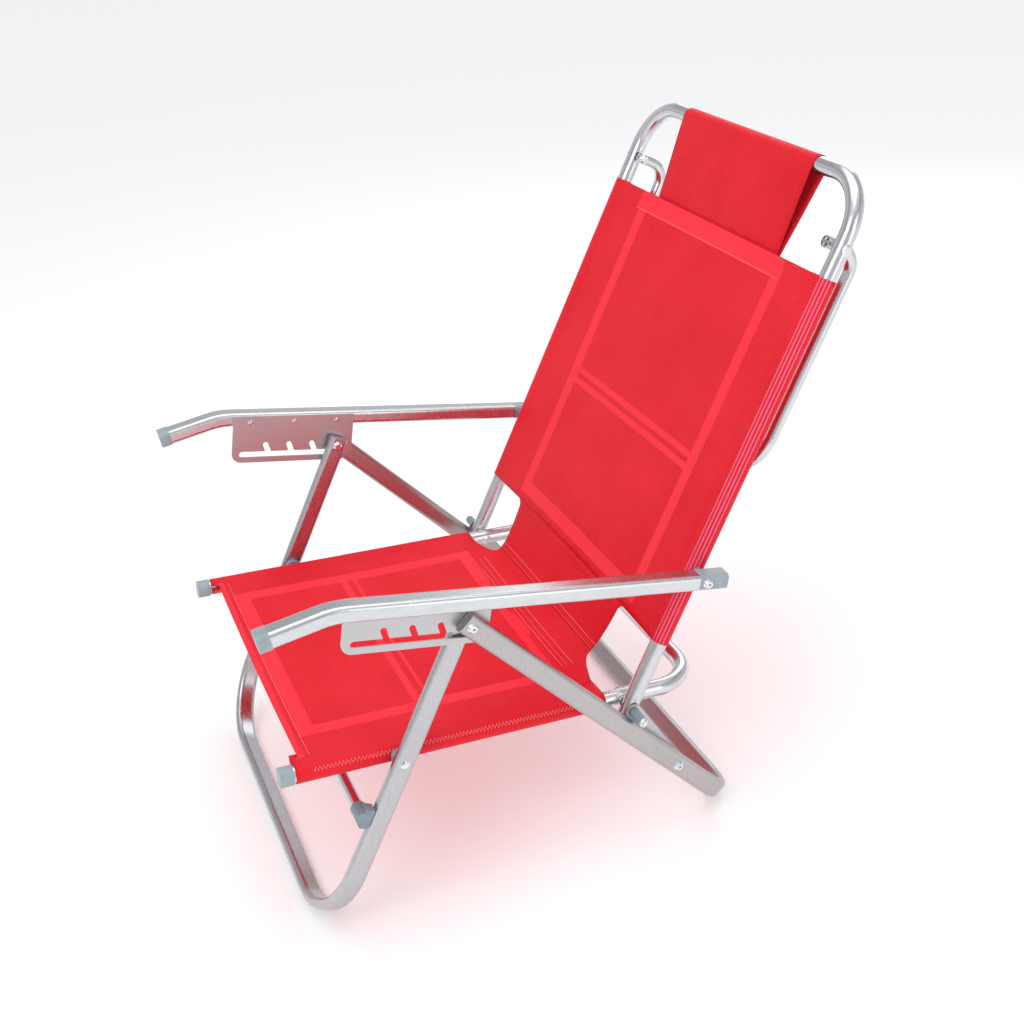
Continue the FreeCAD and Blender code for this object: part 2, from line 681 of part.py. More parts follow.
def make_plate(label, side):
    """Notched plate on the armrest's inner face: one long slot with four notches above it."""
    body = new_body(label)
    outline = new_sketch(body, "outline", "YZ_Plane")
    front, back = -size("plate_front"), -size("plate_back")
    top, foot = size("plate_top"), -size("plate_foot")
    corner = size("plate_round")
    ring_centre = V(front + corner, foot + corner, 0)
    bend = Part.ArcOfCircle(Part.Circle(ring_centre, V(0, 0, 1), corner), math.pi, 1.5 * math.pi)
    outline.addGeometry(Part.LineSegment(V(back, top, 0), V(front, top, 0)))
    outline.addGeometry(Part.LineSegment(V(front, top, 0), V(front, foot + corner, 0)))
    outline.addGeometry(bend)
    outline.addGeometry(Part.LineSegment(V(front + corner, foot, 0), V(back - corner, foot, 0)))
    outline.addGeometry(Part.LineSegment(V(back - corner, foot, 0), V(back, foot + corner, 0)))
    outline.addGeometry(Part.LineSegment(V(back, foot + corner, 0), V(back, top, 0)))
    rule(outline, "Coincident", 0, 2, 1, 1)
    rule(outline, "Tangent", 1, 2, 2, 1)
    rule(outline, "Tangent", 2, 2, 3, 1)
    for a in (3, 4):
        rule(outline, "Coincident", a, 2, a + 1, 1)
    rule(outline, "Coincident", 5, 2, 0, 1)
    rule(outline, "Horizontal", 0)
    rule(outline, "Vertical", 1)
    rule(outline, "Vertical", 5)
    driven(outline, cell("plate_round"), "Radius", 2, corner)
    pin_point(outline, 0, 1, back, top, f"-{cell('plate_back')}", cell("plate_top"))
    driven(outline, f"-{cell('plate_front')}", "DistanceX", -1, 1, 0, 2, front)
    driven(outline, f"-{cell('plate_foot')}", "DistanceY", -1, 1, 3, 2, foot)
    driven(outline, f"{cell('plate_foot')} - {cell('plate_round')}", "DistanceY", 5, 1, -1, 1, -foot - corner)
    driven(outline, cell("plate_round"), "DistanceX", 4, 1, 4, 2, corner)
    pad(body, "sheet", outline, cell("plate_thick"), back=side < 0)
    bolt = TOP_BOLT - ARM_BOLT
    slope = -size("arm_slope")
    bolt_along = bolt.dot(heading(slope))
    bolt_up = bolt.dot(heading(slope + 90))
    channel = new_sketch(body, "channel", "YZ_Plane")
    low = -size("channel_low")
    low_cell = f"-{cell('channel_low')}"
    rear_end = bolt_along + size("notch_rake")
    slot(
        channel,
        (-size("channel_front"), low),
        (rear_end, low),
        size("channel_radius"),
        (f"-{cell('channel_front')}", low_cell),
        (f"{rear_end}", low_cell),
        cell("channel_radius"),
    )
    pocket(body, "channel_cut", channel)
    for i in range(4):
        notch = new_sketch(body, f"notch{i}", "YZ_Plane")
        along = bolt_along - i * size("notch_pitch")
        along_cell = f"{bolt_along} - {i} * {cell('notch_pitch')}"
        slot(
            notch,
            (along + size("notch_rake"), low),
            (along, bolt_up),
            size("notch_radius"),
            (f"{along_cell} + {cell('notch_rake')}", low_cell),
            (along_cell, f"{bolt_up}"),
            cell("notch_radius"),
        )
        pocket(body, f"notch{i}_cut", notch)
    for i, along in enumerate((-430.0, -366.0, -302.0)):
        cross_hole_up(body, f"rivet{i}", along)
    point = at_x(ARM_BOLT, side * size("plate_inner"))
    lay(body, point, slope)
    keep(body, label)


PLATE_RIVETS = (430.0, 366.0, 302.0)


def cross_hole_up(body, name, along):
    """A rivet hole near the plate's top edge."""
    sketch = new_sketch(body, name, "YZ_Plane")
    circle(sketch, along, -2.0, 2.05, f"{along}", "-2", "2.05")
    pocket(body, f"{name}_cut", sketch)


def make_plate_rivets(label, side):
    """Rivet heads on the plate's inner face; their shanks end inside the plate."""
    slope = -size("arm_slope")
    rivets = []
    for i, along in enumerate(PLATE_RIVETS):
        point = ARM_BOLT - heading(slope) * along - heading(slope + 90) * 2.0
        name = f"{label}_{i}"
        start = size("plate_inner")
        shank = across(f"{name}_shank", point, start, cell("plate_thick"), "2", side)
        head = dome(f"{name}_head", point, start, "0.35", "3.6", side, -1)
        rivets.append(fuse(name, [shank, head]))
    keep(group(label, rivets), label)


def make_armrests():
    for side_name, side in SIDES:
        nose = make_arm_tube(f"armrest_tube_{side_name}", side)[1]
        make_front_cap(f"armrest_cap_{side_name}", side, nose)
        make_rear_clip(f"armrest_clip_{side_name}", side)
        make_plate(f"ratchet_plate_{side_name}", side)
        make_plate_rivets(f"plate_rivets_{side_name}", side)


# ---------------------------------------------------------------- fasteners and plastics


def make_leg_plugs():
    """Plastic plugs that close the open tops of both legs."""
    for label, half_alias, degrees in (
        ("front_leg_plugs", "front_half", size("lean") + 180),
        ("rear_leg_plugs", "rear_half", -size("rear_lean")),
    ):
        plugs = []
        for side_name, side in SIDES:
            body = new_body(f"{label}_{side_name}")
            flat = (size("leg_wide") - size("leg_thick")) / 2
            flat_cell = f"({cell('leg_wide')} - {cell('leg_thick')}) / 2"
            ends = ((0, -flat), (0, flat))
            cells = (("0", f"-{flat_cell}"), ("0", flat_cell))
            lid = new_sketch(body, "lid", "XZ_Plane")
            slot(lid, *ends, size("leg_thick") / 2, *cells, f"{cell('leg_thick')} / 2")
            pad(body, "lid_pad", lid, "2.6")
            stem = new_sketch(body, "stem", "XZ_Plane")
            bore = size("leg_thick") / 2 - size("tube_wall") - 0.1
            slot(stem, *ends, bore, *cells, f"{cell('leg_thick')} / 2 - {cell('tube_wall')} - 0.1")
            pad(body, "stem_pad", stem, f"{cell('leg_top')} - {cell('bolt_radius')} - 0.6", back=True)
            start = TOP_BOLT - heading(degrees) * size("leg_top")
            lay(body, at_x(start, side * size(half_alias)), degrees)
            plugs.append(body)
        keep(group(label, plugs), label)


def make_seat_caps():
    """Plastic caps over the seat tube's open front ends."""
    for side_name, side in SIDES:
        label = f"seat_cap_{side_name}"
        body = new_body(label)
        skin = new_sketch(body, "skin", "XZ_Plane")
        circle(skin, 0, 0, size("tube_radius") + 1.3, "0", "0", f"{cell('tube_radius')} + 1.3")
        pad(body, "skin_pad", skin, "17")
        seat = new_sketch(body, "bore", "XZ_Plane")
        circle(seat, 0, 0, size("tube_radius") + 0.06, "0", "0", f"{cell('tube_radius')} + 0.06")
        pocket(body, "bore_cut", seat, "14", back=True)
        start = BACK_PIVOT + TO_FRONT * (size("seat_front") - 13.9)
        lay(body, at_x(start, side * size("seat_half")), -size("seat_slope"))
        keep(body, label)


def make_top_bolts():
    """Bolt halves of the leg tops. Each half ends short of the notched plate between the legs."""
    plate_in = size("plate_inner")
    plate_out = plate_in + size("plate_thick")
    inner_face = size("front_half") - size("leg_thick") / 2 - 0.05
    outer_face = size("rear_half") + size("leg_thick") / 2 + 0.05
    inner = [headed_pin(f"top_inner_{n}", TOP_BOLT, inner_face, plate_in - 0.4, s, -1) for n, s in SIDES]
    outer = [headed_pin(f"top_outer_{n}", TOP_BOLT, plate_out + 0.3, outer_face, s, 1) for n, s in SIDES]
    keep(group("top_bolts_inner", inner), "top_bolts_inner")
    keep(group("top_bolts_outer", outer), "top_bolts_outer")


def make_seat_rivets():
    """Rivets from the seat tube through a spacer and the front leg."""
    start = size("seat_half") - size("tube_radius") - 0.1
    end = size("front_half") + size("leg_thick") / 2 + 0.1
    rivets = []
    for side_name, side in SIDES:
        name = f"seat_rivet_{side_name}"
        shank = across(f"{name}_shank", SEAT_RIVET, start, f"{end - start}", cell("bolt_radius"), side)
        inner = dome(f"{name}_in", SEAT_RIVET, start, "1.8", "6", side, -1)
        outer = dome(f"{name}_out", SEAT_RIVET, end, "1.7", "6", side, 1)
        rivets.append(fuse(name, [shank, inner, outer]))
        gap_start = size("seat_half") + size("tube_radius") + 0.1
        gap = size("front_half") - size("leg_thick") / 2 - 0.2 - gap_start
        name = f"seat_saddle_{side_name}"
        saddle = ring(name, SEAT_RIVET, gap_start, f"{gap}", cell("saddle_radius"), side)
        keep(saddle, name)
    keep(group("seat_rivets", rivets), "seat_rivets")


def make_pivot_sets():
    """Bolt of the seat and back pivot, with its washer, outer sleeve and domed nut."""
    start = size("seat_half") - size("tube_radius") - 0.1
    end = size("sleeve_end")
    bolts = [headed_pin(f"pivot_bolt_{n}", BACK_PIVOT, start, end, s, -1) for n, s in SIDES]
    keep(group("pivot_bolts", bolts), "pivot_bolts")
    washer_start = size("seat_half") + size("tube_radius") + 0.15
    gap = size("back_half") - size("tube_radius") - 0.15 - washer_start
    washers = [
        ring(f"pivot_washer_{n}", BACK_PIVOT, washer_start, f"{gap}", "8", s) for n, s in SIDES
    ]
    keep(group("pivot_washers", washers), "pivot_washers")
    sleeve_start = size("plate_inner") + size("tie_thick") + 0.25
    for side_name, side in SIDES:
        long = f"{end - 0.1 - sleeve_start}"
        name = f"pivot_sleeve_{side_name}"
        keep(ring(name, BACK_PIVOT, sleeve_start, long, cell("sleeve_radius"), side), name)
        name = f"pivot_acorn_{side_name}"
        acorn = doc.addObject("Part::Sphere", f"{name}_ball")
        acorn.setExpression("Radius", f"{cell('sleeve_radius')} - 0.3")
        acorn.Placement = FreeCAD.Placement(at_x(BACK_PIVOT, side * (end + 0.05)), FreeCAD.Rotation())
        outer_half = across(f"{name}_half", BACK_PIVOT, end + 0.05, "20", "12", side)
        nut = doc.addObject("Part::Common", name)
        nut.Base = acorn
        nut.Tool = outer_half
        keep(nut, name)


def make_tie_bars():
    """Short bars from the seat and back pivot down to a rivet on each rear leg."""
    line = TIE_RIVET - BACK_PIVOT
    degrees = math.degrees(math.atan2(line.z, line.y))
    rivets = []
    for side_name, side in SIDES:
        label = f"tie_bar_{side_name}"
        body = new_body(label)
        outline = new_sketch(body, "outline", "YZ_Plane")
        wide = size("tie_wide") / 2
        ends = (("0", "0"), (cell("tie_length"), "0"))
        slot(outline, (0, 0), (size("tie_length"), 0), wide, *ends, f"{cell('tie_wide')} / 2")
        pad(body, "bar", outline, cell("tie_thick"), back=side < 0)
        cross_hole(body, "eye", 0, "0", HOLE, HOLE_RADIUS)
        lay(body, at_x(BACK_PIVOT, side * size("plate_inner")), degrees)
        keep(body, label)
        inner = size("rear_half") - size("leg_thick") / 2 + 0.02
        outer = size("rear_half") + size("leg_thick") / 2 + 0.05
        rivets.append(headed_pin(f"tie_rivet_{side_name}", TIE_RIVET, inner, outer, side, 1))
    keep(group("tie_rivets", rivets), "tie_rivets")


def make_arm_bolts():
    start = size("back_half") - size("tube_radius") - 0.1
    end = size("arm_half") + size("arm_wide") / 2 + 0.1
    bolts = [headed_pin(f"arm_bolt_{n}", ARM_BOLT, start, end, s, 1, True) for n, s in SIDES]
    keep(group("armrest_bolts", bolts), "armrest_bolts")
    gap_start = size("back_half") + size("tube_radius") + 0.15
    gap = size("arm_half") - size("arm_wide") / 2 - 0.3 - gap_start
    for side_name, side in SIDES:
        name = f"armrest_bushing_{side_name}"
        keep(ring(name, ARM_BOLT, gap_start, f"{gap}", "8.5", side), name)


def make_bail_bolts():
    start = size("bail_half") - size("bail_radius") - 0.1
    end = size("back_half") + size("tube_radius") + 0.1
    bolts = [
        headed_pin(f"bail_bolt_{n}", BAIL_BOLT, start, end, s, 1, True, "low_head") for n, s in SIDES
    ]
    keep(group("bail_bolts", bolts), "bail_bolts")


# ---------------------------------------------------------------- sling


def cloth_sleeve(name, origin, degrees, half, low, high):
    """Solid rods along two side tubes, before the tubes' space is cut out."""
    rods = []
    for side_name, side in SIDES:
        rod = doc.addObject("Part::Cylinder", f"{name}_{side_name}")
        rod.setExpression("Radius", f"{cell('tube_radius')} + {cell('cloth_gap')} + {cell('cloth')}")
        rod.setExpression("Height", f"{high} - {low}")
        turn = FreeCAD.Rotation(V(1, 0, 0), degrees - 90)
        start = origin + heading(degrees) * rod_start(low)
        rod.Placement = FreeCAD.Placement(at_x(start, side * size(half)), turn)
        rods.append(rod)
    return rods


def rod_start(expression):
    """Number of a signed sheet expression such as -Sizes.seat_cloth_front."""
    sign = -1 if expression.startswith("-") else 1
    return sign * size(expression.lstrip("-").replace("Sizes.", ""))


def cloth_panel(name, origin, degrees, half_cell, half, low, high, low_cell, high_cell):
    """Flat panel centred on the frame's plane between two distances along it."""
    panel = doc.addObject("Part::Box", name)
    panel.setExpression("Length", f"2 * {half_cell}")
    panel.setExpression("Width", f"{high_cell} - {low_cell}")
    panel.setExpression("Height", cell("panel_thick"))
    turn = FreeCAD.Rotation(V(1, 0, 0), degrees)
    thick = heading(degrees + 90) * (size("panel_thick") / 2)
    corner = origin + heading(degrees) * low - thick
    panel.Placement = FreeCAD.Placement(at_x(corner, -half), turn)
    return panel


def tube_space(name, origin, degrees, half, pin):
    """Room for the two side tubes inside the sling, and for the pins that cross them."""
    rods = []
    for side_name, side in SIDES:
        rod = doc.addObject("Part::Cylinder", f"{name}_{side_name}")
        rod.setExpression("Radius", f"{cell('tube_radius')} + {cell('cloth_gap')}")
        rod.Height = 1600
        turn = FreeCAD.Rotation(V(1, 0, 0), degrees - 90)
        start = origin - heading(degrees) * 800
        rod.Placement = FreeCAD.Placement(at_x(start, side * size(half)), turn)
        rods.append(rod)
        inner = size(half) - size("tube_radius") - 6
        rods.append(across(f"{name}_pin_{side_name}", pin, inner, "60", cell("eyelet_radius"), side))
    return fuse(name, rods)


def make_seat_sling():
    degrees = -size("seat_slope")
    front, rear = f"-{cell('seat_cloth_front')}", f"-{cell('seat_cloth_rear')}"
    rods = cloth_sleeve("seat_sleeve", BACK_PIVOT, degrees, "seat_half", front, rear)
    numbers = (-size("seat_cloth_front"), -size("seat_cloth_rear"))
    wide = cloth_panel(
        "seat_panel", BACK_PIVOT, degrees, cell("seat_half"), size("seat_half"), *numbers, front, rear
    )
    solid = fuse("seat_sling_solid", rods + [wide])
    space = tube_space("seat_space", BACK_PIVOT, degrees, "seat_half", SEAT_RIVET)
    keep(cut("seat_sling", solid, space), "seat_sling")


def make_back_sling():
    degrees = size("lean")
    low, high = cell("back_cloth_low"), cell("back_cloth_high")
    rods = cloth_sleeve("back_sleeve", BACK_PIVOT, degrees, "back_half", low, high)
    wide_low = size("back_panel_low")
    top = size("back_cloth_high")
    wide = cloth_panel(
        "back_panel",
        BACK_PIVOT,
        degrees,
        cell("back_half"),
        size("back_half"),
        wide_low,
        top,
        cell("back_panel_low"),
        high,
    )
    narrow = cloth_panel(
        "back_waist",
        BACK_PIVOT,
        degrees,
        cell("waist_half"),
        size("waist_half"),
        30.0,
        wide_low + 1,
        "30",
        f"{cell('back_panel_low')} + 1",
    )
    solid = fuse("back_sling_solid", rods + [wide, narrow])
    space = tube_space("back_space", BACK_PIVOT, degrees, "back_half", ARM_BOLT)
    keep(cut("back_sling", solid, space), "back_sling")


def make_headrest():
    """Narrow strip looped over the top bar and down to the back panel's top edge."""
    degrees = size("lean")
    top = BACK_PIVOT + UP_BACK * size("back_length")
    length = f"2 * {cell('head_half')}"
    outer = f"{cell('tube_radius')} + {cell('cloth_gap')} + {cell('cloth')}"
    inner = f"{cell('tube_radius')} + {cell('cloth_gap')}"
    roll = across("headrest_roll", top, -size("head_half"), length, outer)
    space = across("headrest_space", top, -size("head_half") - 1, f"{length} + 2", inner)
    low, high = size("back_cloth_high") + 1, size("back_length")
    low_cell = f"{cell('back_cloth_high')} + 1"
    strip = cloth_panel(
        "headrest_strip",
        BACK_PIVOT,
        degrees,
        cell("head_half_low"),
        size("head_half_low"),
        low,
        high,
        low_cell,
        cell("back_length"),
    )
    keep(cut("headrest", fuse("headrest_solid", [roll, strip]), space), "headrest")


make_legs()
make_seat_tube()
make_back_tube()
make_brace()
make_bail()
make_armrests()
make_leg_plugs()
make_seat_caps()
make_top_bolts()
make_seat_rivets()
make_pivot_sets()
make_tie_bars()
make_arm_bolts()
make_bail_bolts()
make_seat_sling()
make_back_sling()
make_headrest()
doc.recompute()


def check_document():
    for obj in doc.Objects:
        for state in ("Invalid", "Error"):
            if state in obj.State:
                raise RuntimeError(f"{obj.Label} is {state}")
    for obj in NODES:
        if obj.Shape.isNull() or not obj.Shape.isValid():
            raise RuntimeError(f"{obj.Label} has no valid shape")
        if not obj.Shape.Solids:
            raise RuntimeError(f"{obj.Label} has no solid")


check_document()
os.makedirs("parts", exist_ok=True)
for obj in NODES:
    obj.Shape.exportStep(f"parts/{obj.Label}.step")
whole = Part.Compound([obj.Shape for obj in NODES]).optimalBoundingBox(False)
print("nodes", len(NODES), "box", whole)
for name, pin in (
    ("back pivot", BACK_PIVOT),
    ("seat rivet", SEAT_RIVET),
    ("top bolt", TOP_BOLT),
    ("armrest bolt", ARM_BOLT),
    ("bail bolt", BAIL_BOLT),
    ("tie rivet", TIE_RIVET),
):
    print(name, round(pin.y, 3), round(pin.z, 3))
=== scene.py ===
"""Looks of the low folding beach chair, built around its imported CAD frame.

Metres, +Z up, the chair faces -Y.
"""

import json
import math

import bpy
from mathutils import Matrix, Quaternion, Vector, noise


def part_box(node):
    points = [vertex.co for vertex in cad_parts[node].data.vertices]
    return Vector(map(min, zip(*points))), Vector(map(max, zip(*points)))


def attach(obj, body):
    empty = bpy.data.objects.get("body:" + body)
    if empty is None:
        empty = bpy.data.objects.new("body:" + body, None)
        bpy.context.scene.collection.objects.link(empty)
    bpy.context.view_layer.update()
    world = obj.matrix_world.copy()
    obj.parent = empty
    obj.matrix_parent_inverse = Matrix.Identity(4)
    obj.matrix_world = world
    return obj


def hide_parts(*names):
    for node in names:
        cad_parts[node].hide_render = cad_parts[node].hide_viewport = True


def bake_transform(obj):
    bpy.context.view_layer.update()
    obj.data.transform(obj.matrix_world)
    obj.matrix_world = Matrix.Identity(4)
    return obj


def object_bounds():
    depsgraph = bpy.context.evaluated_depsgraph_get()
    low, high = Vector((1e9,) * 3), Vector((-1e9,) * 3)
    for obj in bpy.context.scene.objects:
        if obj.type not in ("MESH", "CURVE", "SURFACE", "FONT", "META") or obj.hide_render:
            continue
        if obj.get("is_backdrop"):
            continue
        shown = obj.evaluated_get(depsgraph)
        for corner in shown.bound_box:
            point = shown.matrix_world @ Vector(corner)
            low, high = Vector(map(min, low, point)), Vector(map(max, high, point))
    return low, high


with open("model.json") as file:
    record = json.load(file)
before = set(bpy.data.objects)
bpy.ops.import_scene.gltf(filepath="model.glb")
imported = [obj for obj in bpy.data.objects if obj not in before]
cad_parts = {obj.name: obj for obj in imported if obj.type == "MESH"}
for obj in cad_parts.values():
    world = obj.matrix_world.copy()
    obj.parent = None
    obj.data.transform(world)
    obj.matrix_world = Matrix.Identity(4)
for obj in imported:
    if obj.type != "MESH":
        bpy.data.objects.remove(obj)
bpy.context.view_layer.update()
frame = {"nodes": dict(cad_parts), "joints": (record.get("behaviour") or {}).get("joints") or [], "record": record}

MM = 0.001
TUBE = 11.1 * MM  # radius of the seat and back tubes
WRAP = TUBE + 0.55 * MM  # middle of the fabric around a tube
SEW = 26 * MM  # from a tube's axis in to the line that closes its sleeve
CLOTH = 0.8 * MM  # thickness of the cloth
WAIST = 166 * MM  # half the narrow middle of the sling

# along the seat and the back, from the pivot
SEAT_FRONT = 432 * MM  # ends of the seat's sleeves
SEAT_STEP = 9 * MM  # the hemmed front edge lies behind the sleeve ends
SEAT_REAR = 26 * MM
SEAT_CORNER = 6 * MM  # the narrow middle starts to widen towards the seat
BACK_LOW = 97 * MM
BACK_HIGH = 592 * MM
BACK_WAIST = 84 * MM  # the narrow middle leaves the back
SEAT_MIDDLE = 4.0 * MM  # cloth over the tubes' plane, in the middle of the seat
BACK_MIDDLE = 3.5 * MM

joints = {j["name"]: Vector(j["pos_m"]) for j in frame["joints"]}
PIVOT = joints["recline"]
RIVET = joints["fold"]
BAIL = joints["bail_swing"]
ARM = joints["fold_armrest"]

ACROSS = Vector((1, 0, 0))
SEAT_DIR = (RIVET - PIVOT).normalized()
SEAT_UP = ACROSS.cross(SEAT_DIR) * -1
BACK_DIR = (BAIL - PIVOT).normalized()
BACK_UP = ACROSS.cross(BACK_DIR)
SEAT_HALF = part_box("seat_tube")[1].x - TUBE
BACK_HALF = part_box("back_tube")[1].x - TUBE
TOP_BAR = PIVOT + BACK_DIR * ((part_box("back_tube")[1].z - TUBE - PIVOT.z) / BACK_DIR.z)


def on_seat(x, ahead, lift):
    """Point of the seat's own frame: across, ahead of the pivot, above the tubes' plane."""
    return PIVOT + ACROSS * x + SEAT_DIR * ahead + SEAT_UP * lift


def on_back(x, along, lift):
    """Point of the back's own frame: across, up from the pivot, in front of the tubes' plane."""
    return PIVOT + ACROSS * x + BACK_DIR * along + BACK_UP * lift


# ---------------------------------------------------------------- nodes of a material

MIX_FACTOR, MIX_FIRST, MIX_SECOND = 0, 6, 7  # inputs of a Mix node that mixes colours
MIX_COLOUR = 2  # its output


class Shade:
    """A material being put together from nodes."""

    def __init__(self, name, **values):
        self.material = bpy.data.materials.new(name)
        self.material.use_nodes = True
        self.tree = self.material.node_tree
        self.shader = self.tree.nodes["Principled BSDF"]
        for socket, value in values.items():
            self.shader.inputs[socket.replace("_", " ")].default_value = value

    def node(self, kind, **settings):
        made = self.tree.nodes.new(kind)
        for key, value in settings.items():
            setattr(made, key, value)
        return made

    def link(self, source, target):
        self.tree.links.new(source, target)

    def put(self, target, value):
        if isinstance(value, (int, float, tuple)):
            target.default_value = value
        else:
            self.link(value, target)

    def math(self, operation, *values):
        made = self.node("ShaderNodeMath", operation=operation)
        for index, value in enumerate(values):
            self.put(made.inputs[index], value)
        return made.outputs[0]

    def mix(self, factor, first, second):
        made = self.node("ShaderNodeMix", data_type="RGBA")
        self.put(made.inputs[MIX_FACTOR], factor)
        self.put(made.inputs[MIX_FIRST], first)
        self.put(made.inputs[MIX_SECOND], second)
        return made.outputs[MIX_COLOUR]

    def noise(self, scale, detail, stretch=(1, 1, 1)):
        place = self.node("ShaderNodeMapping")
        place.inputs["Scale"].default_value = stretch
        where = self.node("ShaderNodeTexCoord")
        self.link(where.outputs["Object"], place.inputs["Vector"])
        made = self.node("ShaderNodeTexNoise")
        self.link(place.outputs[0], made.inputs["Vector"])
        made.inputs["Scale"].default_value = scale
        made.inputs["Detail"].default_value = detail
        return made.outputs["Fac"]

    def span(self, value, low, high, to_low=0.0, to_high=1.0):
        made = self.node("ShaderNodeMapRange")
        for index, number in enumerate((value, low, high, to_low, to_high)):
            self.put(made.inputs[index], number)
        return made.outputs[0]

    def band(self, value, centre, half, soft=0.6 * MM):
        """1 within half of the centre, 0 outside, with a soft edge."""
        off = self.math("ABSOLUTE", self.math("SUBTRACT", value, centre))
        return self.span(off, half - soft, half + soft, 1.0, 0.0)

    def wave(self, value, pitch):
        """Smooth swing between 0 and 1 that repeats every pitch."""
        turns = self.math("MULTIPLY", value, 2 * math.pi / pitch)
        return self.math("MULTIPLY_ADD", self.math("SINE", turns), 0.5, 0.5)

    def bump(self, height, strength, distance):
        made = self.node("ShaderNodeBump")
        made.inputs["Strength"].default_value = strength
        made.inputs["Distance"].default_value = distance
        self.link(height, made.inputs["Height"])
        self.link(made.outputs[0], self.shader.inputs["Normal"])

    def colour(self, value):
        self.link(value, self.shader.inputs["Base Color"])

    def rough(self, value):
        self.link(value, self.shader.inputs["Roughness"])


RED = (0.93, 0.002, 0.018, 1)
DEEP_RED = (0.64, 0.001, 0.010, 1)
BAND_RED = (1.0, 0.022, 0.048, 1)
THREAD = (0.95, 0.42, 0.48, 1)
# GLINT is a painted highlight: the pink sheen of the coated yarn over the back's sleeve tubes
GLINT = (0.93, 0.36, 0.62, 1)

WARP, WEFT = 1.9 * MM, 1.5 * MM  # pitches of the weave
GLINT_LINE, GLINT_BEAD = 4.6 * MM, 2.6 * MM  # pitches of the painted highlight's lines and dots along the sleeve
GLINT_HALF = 9 * MM
WEAVE_DEPTH = 0.7 * MM


def make_mesh_fabric(name, bands, stitches=(), glint=None, alpha=0.96, rib=4.2 * MM):
    """Coated mesh cloth.

    A band is (across centre, across half, along centre, along half), and a row of stitches has its
    pitch after these. glint is how far across the painted highlight lines on the sleeves lie.
    """
    s = Shade(name, Metallic=0.0, Alpha=alpha)
    s.shader.inputs["Specular IOR Level"].default_value = 0.28
    cloth = s.node("ShaderNodeUVMap", uv_map="cloth").outputs[0]
    parts = s.node("ShaderNodeSeparateXYZ")
    s.link(cloth, parts.inputs[0])
    across, along = parts.outputs[0], parts.outputs[1]
    weave = s.math("MAXIMUM", s.wave(across, WARP), s.wave(along, WEFT))
    ribs = s.wave(along, rib)
    uneven = s.noise(9.0, 4.0)
    fine = s.noise(260.0, 2.0)
    depth = s.math("MULTIPLY_ADD", weave, 0.45, s.math("MULTIPLY", ribs, 0.35))
    depth = s.math("MULTIPLY_ADD", s.math("SUBTRACT", fine, 0.5), 0.5, depth)
    cloth_red = s.mix(depth, DEEP_RED, RED)
    cloth_red = s.mix(s.span(uneven, 0.35, 0.7, 0.0, 0.35), cloth_red, BAND_RED)
    welded = 0.0
    for x, half, y, reach in bands:
        area = s.math("MULTIPLY", s.band(across, x, half), s.band(along, y, reach))
        welded = s.math("MAXIMUM", welded, area)
    painted = s.mix(welded, cloth_red, BAND_RED)
    for x, half, y, reach, pitch in stitches:
        dashes = s.math("GREATER_THAN", s.wave(across, pitch), 0.45)
        line = s.math("MULTIPLY", s.band(across, x, half), s.band(along, y, reach, 0.3 * MM))
        painted = s.mix(s.math("MULTIPLY", s.math("MULTIPLY", dashes, line), 0.55), painted, THREAD)
    # painted highlight: bright pink lines of sheen on the cloth over each sleeve's tube
    if glint:
        side = s.math("ABSOLUTE", across)
        lines = s.math("GREATER_THAN", s.wave(side, GLINT_LINE), 0.62)
        highlight_dots = s.math("MULTIPLY_ADD", s.wave(along, GLINT_BEAD), 0.6, 0.3)
        strip = s.math("MULTIPLY", s.math("MULTIPLY", lines, highlight_dots), s.band(side, glint, GLINT_HALF))
        painted = s.mix(s.math("MULTIPLY", strip, 0.65), painted, GLINT)
    s.colour(painted)
    s.rough(s.math("MULTIPLY_ADD", welded, -0.10, s.span(depth, 0.0, 1.0, 0.62, 0.42)))
    woven = s.math("MULTIPLY", depth, s.math("SUBTRACT", 1.0, welded))
    s.bump(s.math("MULTIPLY_ADD", welded, 0.35, woven), 0.55, WEAVE_DEPTH)
    return s.material


def shaded(tint, share=1.0):
    """The tint made darker by a share, as a colour for a socket."""
    return (*[c * share for c in tint], 1)


def make_aluminium(name, rough, streak, stretch, tint):
    """Drawn aluminium: fine lines along the tube, faint stains, and small scratches."""
    s = Shade(name, Metallic=1.0)
    lines = s.noise(streak, 5.0, stretch)
    stains = s.noise(7.0, 4.0)
    scratches = s.noise(90.0, 6.0, (1.0, 5.0, 1.0))
    base = s.mix(s.span(lines, 0.3, 0.7), shaded(tint, 0.90), shaded(tint))
    base = s.mix(s.span(stains, 0.55, 0.8, 0.0, 0.5), base, shaded(tint, 0.82))
    s.colour(base)
    grit = s.math("MULTIPLY_ADD", s.math("SUBTRACT", lines, 0.5), 0.10, rough)
    s.rough(s.math("ADD", grit, s.span(scratches, 0.62, 0.80, 0.0, 0.08)))
    s.bump(lines, 0.04, 0.1 * MM)
    return s.material


def make_plastic(name, tint):
    """Moulded grey plastic with a fine spark-eroded grain and rubbed patches."""
    s = Shade(name, Metallic=0.0)
    grain = s.noise(900.0, 2.0)
    rub = s.noise(45.0, 4.0)
    s.colour(s.mix(s.span(rub, 0.35, 0.7), shaded(tint, 0.78), shaded(tint)))
    s.rough(s.math("MULTIPLY_ADD", rub, 0.28, 0.26))
    s.bump(grain, 0.25, 0.2 * MM)
    return s.material


def make_chrome(name):
    """Bright plated steel with faint smears."""
    s = Shade(name, Metallic=1.0)
    smear = s.noise(120.0, 4.0)
    s.colour(s.mix(smear, (0.60, 0.61, 0.63, 1), (0.86, 0.87, 0.89, 1)))
    s.rough(s.math("MULTIPLY_ADD", smear, 0.16, 0.10))
    s.bump(smear, 0.08, 0.1 * MM)
    return s.material


